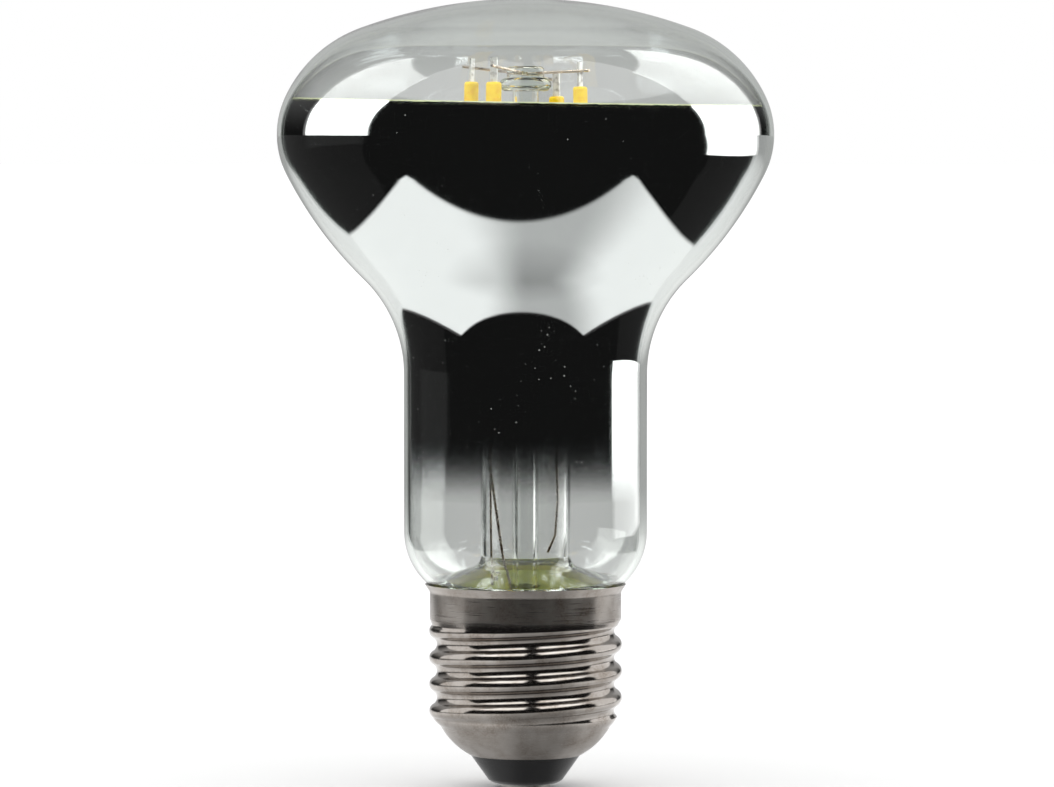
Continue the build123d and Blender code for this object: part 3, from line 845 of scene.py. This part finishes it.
class LAMP_OT_finish_mirror(bpy.types.Operator):
    """Make the film inside the bulb a mirror."""

    bl_idname = "lamp.finish_mirror"
    bl_label = "Finish mirror film"

    def execute(self, context):
        scene = context.scene
        sizes = scene.bulb_sizes
        slope = math.tan(sizes.film_edge_tilt)
        outer = sizes.wall + sizes.film_clearance
        skins = [bulb_outline(sizes, inset) for inset in (outer, outer + sizes.film_thickness)]
        edge_radius = max(p.x for p in skins[0] if p.y > film_high.z - MM)
        edge_middle = film_high.z - edge_radius * slope
        outlines = []
        for step in range(TURN_STEPS):
            aside = math.cos(2 * math.pi * step / TURN_STEPS) * edge_radius
            top = edge_middle - aside * slope
            front, back = (
                evenly(between(skin, film_low.z, top), FILM_STEPS) for skin in skins
            )
            outlines.append(front + back[::-1])
        film = turned_piece("mirror_film", outlines, "reflector_film")
        mirror = deposited_mirror(scene.lamp_finishes, scene.lamp_patterns, sizes)
        film.data.materials.append(mirror)
        return {"FINISHED"}


class LAMP_OT_finish_filaments(bpy.types.Operator):
    """Coat the four filaments and plate their tabs."""

    bl_idname = "lamp.finish_filaments"
    bl_label = "Finish filaments"

    def execute(self, context):
        finishes = context.scene.lamp_finishes
        coating = phosphor_coating(finishes, context.scene.lamp_patterns)
        plate = worked_metal(
            "plated_steel_stamped",
            finishes.tab,
            finishes.tab_stain,
            stain_size=0.8,
            roughness=0.35,
            metallic=0.5,
        )
        for strip in range(1, FILAMENTS + 1):
            finish_nodes(coating, f"led_filament_{strip}")
            finish_nodes(plate, f"filament_tabs_{strip}")
        return {"FINISHED"}


class LAMP_OT_finish_wires(bpy.types.Operator):
    """Finish the wires on the stem and in the cap."""

    bl_idname = "lamp.finish_wires"
    bl_label = "Finish wires"

    def execute(self, context):
        finishes = context.scene.lamp_finishes
        drawn = worked_metal(
            "nickel_iron_wire_drawn",
            finishes.wire,
            finishes.wire_stain,
            stain_size=1.5,
            roughness=0.2,
        )
        finish_nodes(
            drawn,
            "top_wire_front",
            "top_wire_rear",
            "lead_wire_front",
            "lead_wire_rear",
            "bridge_wire",
            "anchor_wire",
        )
        tinned = worked_metal(
            "copper_wire_tinned",
            finishes.contact,
            finishes.wire,
            stain_size=1.0,
            roughness=0.4,
            metallic=0.4,
        )
        finish_nodes(tinned, "contact_lead", "resistor_lead", "shell_wire")
        return {"FINISHED"}


class LAMP_OT_finish_cap(bpy.types.Operator):
    """Finish the screw shell, the insulator and the centre contact."""

    bl_idname = "lamp.finish_cap"
    bl_label = "Finish cap"

    def execute(self, context):
        finishes = context.scene.lamp_finishes
        patterns = context.scene.lamp_patterns
        sizes = context.scene.shell_sizes
        outlines = [
            shell_outline(sizes, 2 * math.pi * step / TURN_STEPS) for step in range(TURN_STEPS)
        ]
        shell = turned_piece("rolled_shell", outlines, "screw_shell")
        shell.data.materials.append(rolled_nickel(finishes, patterns, sizes))
        finish_nodes(cast_black_glass(finishes, patterns), "insulator")
        pressed = worked_metal(
            "brass_tinned_pressed",
            finishes.contact,
            finishes.nickel_stain,
            stain_size=1.2,
            roughness=0.3,
        )
        finish_nodes(pressed, "centre_contact")
        return {"FINISHED"}


class LAMP_OT_finish_driver(bpy.types.Operator):
    """Finish the cement, the board and what it carries."""

    bl_idname = "lamp.finish_driver"
    bl_label = "Finish driver"

    def execute(self, context):
        finishes = context.scene.lamp_finishes
        cement = matt_body("phenolic_cement_baked", finishes.cement, grain=0.6, roughness=0.8)
        finish_nodes(cement, "capping_cement")
        board = matt_body("glass_epoxy_laminate_pressed", finishes.laminate, grain=0.4, roughness=0.45)
        finish_nodes(board, "driver_board")
        moulded = matt_body("epoxy_moulded", finishes.black_glass, grain=0.2, roughness=0.6)
        finish_nodes(moulded, "bridge_rectifier", "driver_chip")
        enamel = matt_body("resistor_enamel_dipped", finishes.laminate, grain=0.5, roughness=0.4)
        finish_nodes(enamel, "fuse_resistor")
        can = worked_metal(
            "aluminium_can_drawn", finishes.tab, finishes.contact, stain_size=2.0, roughness=0.25
        )
        finish_nodes(can, "smoothing_capacitor")
        return {"FINISHED"}


class LAMP_OT_lay_studio(bpy.types.Operator):
    """Lay the floor, set the light and place the camera."""

    bl_idname = "lamp.lay_studio"
    bl_label = "Lay studio"

    def execute(self, context):
        studio = context.scene.lamp_studio
        self.lay_floor(context.scene, studio)
        self.light_studio(context.scene, studio)
        self.place_camera(context.scene, studio)
        context.scene.view_settings.view_transform = "Standard"
        # Light crosses several walls of glass on its way to the film and back
        cycles = context.scene.cycles
        cycles.max_bounces = 32
        cycles.transmission_bounces = 24
        cycles.glossy_bounces = 12
        cycles.transparent_max_bounces = 24
        return {"FINISHED"}

    def lay_floor(self, scene, studio):
        """Pale floor. Mirrors see it as a white board and a pale table in a dark room."""
        reach = studio.floor_reach
        mesh = bpy.data.meshes.new("studio_floor")
        corners = [(-reach, -reach, 0), (reach, -reach, 0), (reach, reach, 0), (-reach, reach, 0)]
        mesh.from_pydata(corners, [], [(0, 1, 2, 3)])
        floor = bpy.data.objects.new("studio_floor", mesh)
        scene.collection.objects.link(floor)
        material, tree = new_material("card_painted_white")
        eye, bare, mirrored, matt = ray_kinds(tree)
        place = place_in_mm(tree)
        axes = add_node(tree, "ShaderNodeSeparateXYZ", {0: place})
        x, y = axes.outputs[0], axes.outputs[1]
        distance = add_node(tree, "ShaderNodeVectorMath", {0: place}, operation="LENGTH").outputs["Value"]
        azimuth = add_node(tree, "ShaderNodeMath", {0: x, 1: y}, operation="ARCTAN2")
        fade = studio.floor_fade / MM
        # The board's sides spread a little towards the back, and its front runs aslant
        left, right = -studio.board_left / MM, studio.board_right / MM
        front, back = -studio.board_front / MM, studio.board_back / MM
        spread = add_node(tree, "ShaderNodeMath", {0: y, 1: studio.board_spread}, operation="MULTIPLY")
        from_left = add_node(tree, "ShaderNodeMath", {0: x, 1: spread}, operation="ADD")
        from_right = add_node(tree, "ShaderNodeMath", {0: x, 1: spread}, operation="SUBTRACT")
        from_front = add_node(
            tree, "ShaderNodeMath", {0: x, 1: studio.board_slant, 2: y}, operation="MULTIPLY_ADD"
        )
        board = soft_area(
            tree,
            studio.board,
            (from_left, left - fade, left + fade),
            (from_right, right + fade, right - fade),
            (from_front, front - fade, front + fade),
            (y, back + fade, back - fade),
        )
        # Shadows on the board: round the lamp's foot, and a wide one from the camera's side
        foot = add_node(
            tree,
            "ShaderNodeMapRange",
            {
                0: distance,
                1: studio.foot_shadow_from / MM,
                2: studio.foot_shadow_to / MM,
                3: studio.foot_shadow,
                4: 1.0,
            },
        )
        frontwards = add_node(tree, "ShaderNodeMath", {0: y, 1: -1.0}, operation="MULTIPLY")
        from_camera = add_node(tree, "ShaderNodeMath", {0: x, 1: frontwards}, operation="ARCTAN2")
        aside = add_node(
            tree, "ShaderNodeMath", {0: from_camera, 1: studio.shade_middle}, operation="SUBTRACT"
        )
        away = add_node(tree, "ShaderNodeMath", {0: aside}, operation="ABSOLUTE")
        shade = add_node(
            tree,
            "ShaderNodeMapRange",
            {0: away, 1: studio.shade_from, 2: studio.shade_to, 3: studio.shade, 4: 1.0},
            interpolation_type="SMOOTHSTEP",
        )
        shaded = add_node(tree, "ShaderNodeMath", {0: foot, 1: shade}, operation="MULTIPLY")
        shaded_board = add_node(tree, "ShaderNodeMath", {0: board, 1: shaded}, operation="MULTIPLY")
        # The pale table lies behind the board
        from_table_left = add_node(
            tree, "ShaderNodeMath", {0: y, 1: studio.table_slant, 2: x}, operation="MULTIPLY_ADD"
        )
        table_light = add_node(
            tree,
            "ShaderNodeMapRange",
            {
                0: distance,
                1: studio.table_near / MM,
                2: studio.table_far / MM,
                3: studio.table_near_light,
                4: studio.table_far_light,
            },
        )
        table_left = -studio.table_left / MM
        table = soft_area(
            tree,
            table_light,
            (from_table_left, table_left - fade, table_left + fade),
            (azimuth, studio.table_right + EDGE_TURN, studio.table_right - EDGE_TURN),
            (y, back - fade, back + fade),
        )
        # The right softbox stands on the floor, and the left one throws a faint glow on it
        from_stand = add_node(
            tree, "ShaderNodeMath", {0: y, 1: -studio.stand_slant, 2: x}, operation="MULTIPLY_ADD"
        )
        stand_near = (studio.stand_reach - studio.stand_fade) / MM
        stand_full = (studio.stand_reach + studio.stand_fade) / MM
        stand = soft_area(
            tree,
            studio.softbox_foot,
            *within(azimuth, studio.stand_from, studio.right_to, EDGE_TURN),
            (from_stand, stand_near, stand_full),
        )
        glow_near = (studio.glow_reach - studio.glow_fade) / MM
        glow_full = (studio.glow_reach + studio.glow_fade) / MM
        glow = soft_area(
            tree,
            studio.glow,
            *within(azimuth, studio.left_from, studio.left_to, studio.glow_turn),
            (distance, glow_near, glow_full),
        )
        # Bare metal shows the floor at the lamp's sides as well
        on_metal = add_node(
            tree, "ShaderNodeMath", {0: bare, 1: studio.metal_floor}, operation="MULTIPLY"
        )
        sides = soft_area(tree, on_metal, *within(azimuth, studio.left_from, studio.right_to, EDGE_TURN))
        light = brightest(tree, shaded_board, table, stand, glow, sides, studio.room)
        plain = add_node(tree, "ShaderNodeMix", {0: mirrored, 2: studio.seen_through, 3: light})
        strength = add_node(tree, "ShaderNodeMix", {0: matt, 2: plain, 3: 1.0})
        card = add_node(tree, "ShaderNodeBsdfDiffuse", {"Color": (*[studio.card] * 3, 1)})
        shown = add_node(tree, "ShaderNodeEmission", {"Strength": strength})
        mixed = add_node(tree, "ShaderNodeMixShader", {0: eye, 1: shown, 2: card})
        add_node(tree, "ShaderNodeOutputMaterial", {"Surface": mixed})
        mesh.materials.append(material)

    def light_studio(self, scene, studio):
        """White for the eye, soft light for matt surfaces, and a dark room with lamps for mirrors."""
        world = bpy.data.worlds.new("studio")
        scene.world = world
        world.use_nodes = True
        world.cycles.sampling_method = "NONE"
        tree = world.node_tree
        tree.nodes.clear()
        eye, bare, mirrored, matt = ray_kinds(tree)
        way = add_node(tree, "ShaderNodeTexCoord")
        axes = add_node(tree, "ShaderNodeSeparateXYZ", {0: way.outputs["Generated"]})
        # Azimuth from the back, positive to the right, and height above the horizon
        azimuth = add_node(
            tree, "ShaderNodeMath", {0: axes.outputs[0], 1: axes.outputs[1]}, operation="ARCTAN2"
        )
        height = add_node(tree, "ShaderNodeMath", {0: axes.outputs[2]}, operation="ARCSINE")
        # The softboxes are brighter towards their upper ends
        softbox = add_node(
            tree,
            "ShaderNodeMapRange",
            {
                0: height,
                1: studio.softbox_dim,
                2: studio.softbox_full,
                3: studio.softbox_foot,
                4: studio.softbox,
            },
        )
        lights = [studio.room]
        left_box = (studio.left_from, studio.left_to, studio.left_low, studio.softbox_top)
        right_box = (studio.right_from, studio.right_to, studio.right_low, studio.softbox_top)
        top_left = (studio.top_left, studio.left_from, studio.top_low, studio.top_high)
        top_right = (studio.right_to, studio.top_right, studio.top_low, studio.top_high)
        for on_glass, on_metal, (left, right, low, high) in (
            (softbox, studio.metal_softbox, left_box),
            (softbox, studio.metal_softbox, right_box),
            (0.0, studio.metal_top, top_left),
            (0.0, studio.metal_top, top_right),
        ):
            strength = add_node(tree, "ShaderNodeMix", {0: bare, 2: on_glass, 3: on_metal})
            sides = within(azimuth, left, right, EDGE_TURN)
            ends = within(height, low, high, EDGE_TURN)
            lights.append(soft_area(tree, strength, *sides, *ends))
        fill = add_node(tree, "ShaderNodeMath", {0: bare, 1: studio.metal_fill}, operation="MULTIPLY")
        surroundings = soft_area(
            tree,
            fill,
            *within(azimuth, studio.left_from, studio.right_to, EDGE_TURN),
            (height, -EDGE_TURN, studio.fill_full),
            (height, studio.fill_top + EDGE_TURN, studio.fill_top - EDGE_TURN),
        )
        # The ceiling comes in from front to back, so that it has no edge overhead
        ceiling = soft_area(
            tree,
            studio.ceiling,
            (axes.outputs[1], -studio.ceiling_front, studio.ceiling_back),
            (height, studio.ceiling_low, studio.ceiling_full),
        )
        backdrop = soft_area(
            tree,
            studio.backdrop,
            *within(azimuth, -studio.back_half_angle, studio.back_half_angle, EDGE_TURN),
            (height, studio.backdrop_top, studio.backdrop_full),
        )
        light = brightest(tree, *lights, surroundings, ceiling, backdrop)
        seen = add_node(tree, "ShaderNodeMix", {0: eye, 2: studio.seen_through, 3: 1.0})
        plain = add_node(tree, "ShaderNodeMix", {0: mirrored, 2: seen, 3: light})
        strength = add_node(tree, "ShaderNodeMix", {0: matt, 2: plain, 3: studio.fill})
        background = add_node(
            tree, "ShaderNodeBackground", {"Color": (1, 1, 1, 1), "Strength": strength}
        )
        add_node(tree, "ShaderNodeOutputWorld", {"Surface": background})

    def place_camera(self, scene, studio):
        """Long lens in front of the lamp, looking slightly down."""
        data = bpy.data.cameras.new("camera")
        camera = bpy.data.objects.new("camera", data)
        scene.collection.objects.link(camera)
        camera.location = (studio.aim_side, -studio.camera_distance, studio.camera_height)
        aim = Vector((studio.aim_side, 0, studio.aim_height))
        camera.rotation_euler = (aim - camera.location).to_track_quat("-Z", "Y").to_euler()
        data.sensor_width = 36
        data.lens = data.sensor_width * studio.camera_distance / studio.picture_width
        data.clip_end = 100
        scene.camera = camera


class LAMP_PT_panel(bpy.types.Panel):
    """Operators and values of the reflector bulb."""

    bl_idname = "LAMP_PT_panel"
    bl_label = "Reflector bulb"
    bl_space_type = "VIEW_3D"
    bl_region_type = "UI"
    bl_category = "Reflector bulb"

    def draw(self, context):
        column = self.layout.column()
        for operator in OPERATORS:
            column.operator(operator.bl_idname)
        for group_name in GROUPS:
            group = getattr(context.scene, group_name)
            box = column.box()
            for name in group.__annotations__:
                box.prop(group, name)


OPERATORS = (
    LAMP_OT_finish_glass,
    LAMP_OT_finish_mirror,
    LAMP_OT_finish_filaments,
    LAMP_OT_finish_wires,
    LAMP_OT_finish_cap,
    LAMP_OT_finish_driver,
    LAMP_OT_lay_studio,
)
GROUPS = {
    "bulb_sizes": BulbSizes,
    "shell_sizes": ShellSizes,
    "lamp_finishes": LampFinishes,
    "lamp_patterns": LampPatterns,
    "lamp_studio": StudioSettings,
}
CLASSES = (*GROUPS.values(), *OPERATORS, LAMP_PT_panel)


def register():
    """Register the classes and give the scene their settings."""
    for cls in CLASSES:
        bpy.utils.register_class(cls)
    for name, group in GROUPS.items():
        setattr(bpy.types.Scene, name, PointerProperty(type=group))


def unregister():
    """Take the settings and the classes away again."""
    for name in GROUPS:
        delattr(bpy.types.Scene, name)
    for cls in reversed(CLASSES):
        bpy.utils.unregister_class(cls)


def main():
    """Build everything in order."""
    register()
    bpy.ops.lamp.finish_glass()
    bpy.ops.lamp.finish_mirror()
    bpy.ops.lamp.finish_filaments()
    bpy.ops.lamp.finish_wires()
    bpy.ops.lamp.finish_cap()
    bpy.ops.lamp.finish_driver()
    bpy.ops.lamp.lay_studio()


if __name__ == "__main__":
    main()
